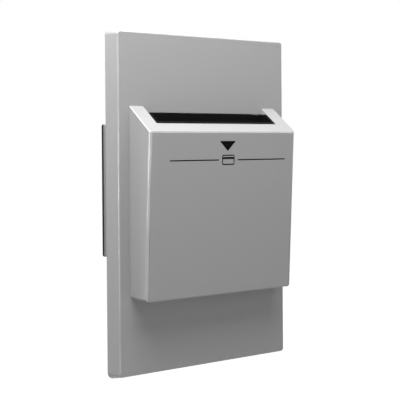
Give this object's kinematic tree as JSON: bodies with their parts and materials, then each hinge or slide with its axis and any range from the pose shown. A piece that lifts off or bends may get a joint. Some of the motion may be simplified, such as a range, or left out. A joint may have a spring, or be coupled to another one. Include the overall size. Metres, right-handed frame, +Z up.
{
  "type": "hotel key card switch",
  "caption": "Wall plate with a sloped card pocket; a card pushed into its slot turns a sprung lever that closes a switch in the box behind.",
  "frame": {"origin": "midway between the two wall box screws, on the wall's face behind the plate", "axes": "+Z up, +Y into the wall, +X to the right as the plate is faced, so the pocket faces -Y"},
  "size_m": [0.0828, 0.0509, 0.1276],
  "materials": {
    "cover_plastic": "semi-gloss grey",
    "guide_plastic": "matte black",
    "shell_plastic": "matte grey",
    "rear_plastic": "matte black",
    "zinc_steel": "zinc plated",
    "screw_steel": "plated",
    "green_steel": "green dyed",
    "pin_steel": "ground",
    "spring_steel": "drawn wire",
    "lever_plastic": "natural",
    "case_plastic": "moulded thermoset",
    "lid_plastic": "moulded thermoset",
    "plunger_plastic": "moulded",
    "brass": "stamped",
    "brass_screw": "turned",
    "silver": "silver contact"
  },
  "bodies": {
    "base": {"front_cover": "cover_plastic", "card_guide": "guide_plastic", "guide_screws": "screw_steel", "mounting_strap": "zinc_steel", "box_screws": "screw_steel", "ground_screw": "green_steel", "strap_screws": "screw_steel", "body_shell": "shell_plastic", "rear_cover": "rear_plastic", "rear_cover_screws": "screw_steel", "lever_pin": "pin_steel", "lever_spring": "spring_steel", "switch_case": "case_plastic", "switch_lid": "lid_plastic", "switch_screws": "screw_steel", "arm_pin": "pin_steel", "arm_spring": "spring_steel", "fixed_contact": "silver", "line_terminal": "brass", "load_terminal": "brass", "terminal_screws": "brass_screw"},
    "lever": {"card_lever": "lever_plastic"},
    "plunger": {"switch_plunger": "plunger_plastic"},
    "contact": {"contact_arm": "brass", "moving_contact": "silver"}
  },
  "joints": [
    {"name": "lever_hinge", "type": "hinge", "parent": "base", "child": "lever", "pos_m": [0, 0.0056, 0.009], "axis": [1, 0, 0], "range_deg": [0, 9.5], "stiffness_Nm_per_rad": 0.08, "springref_deg": -11.46, "deforming": ["lever_spring"]},
    {"name": "plunger_slide", "type": "slide", "parent": "base", "child": "plunger", "axis": [0, 1, 0], "range_m": [0, 0.0022]},
    {"name": "contact_hinge", "type": "hinge", "parent": "base", "child": "contact", "pos_m": [0, 0.015, 0.009], "axis": [1, 0, 0], "range_deg": [0, 9.6], "deforming": ["arm_spring"]}
  ],
  "couplings": [
    {"joint": "plunger_slide", "follows": "lever_hinge", "m_per_rad": 0.013},
    {"joint": "contact_hinge", "follows": "lever_hinge", "ratio": 1}
  ]
}
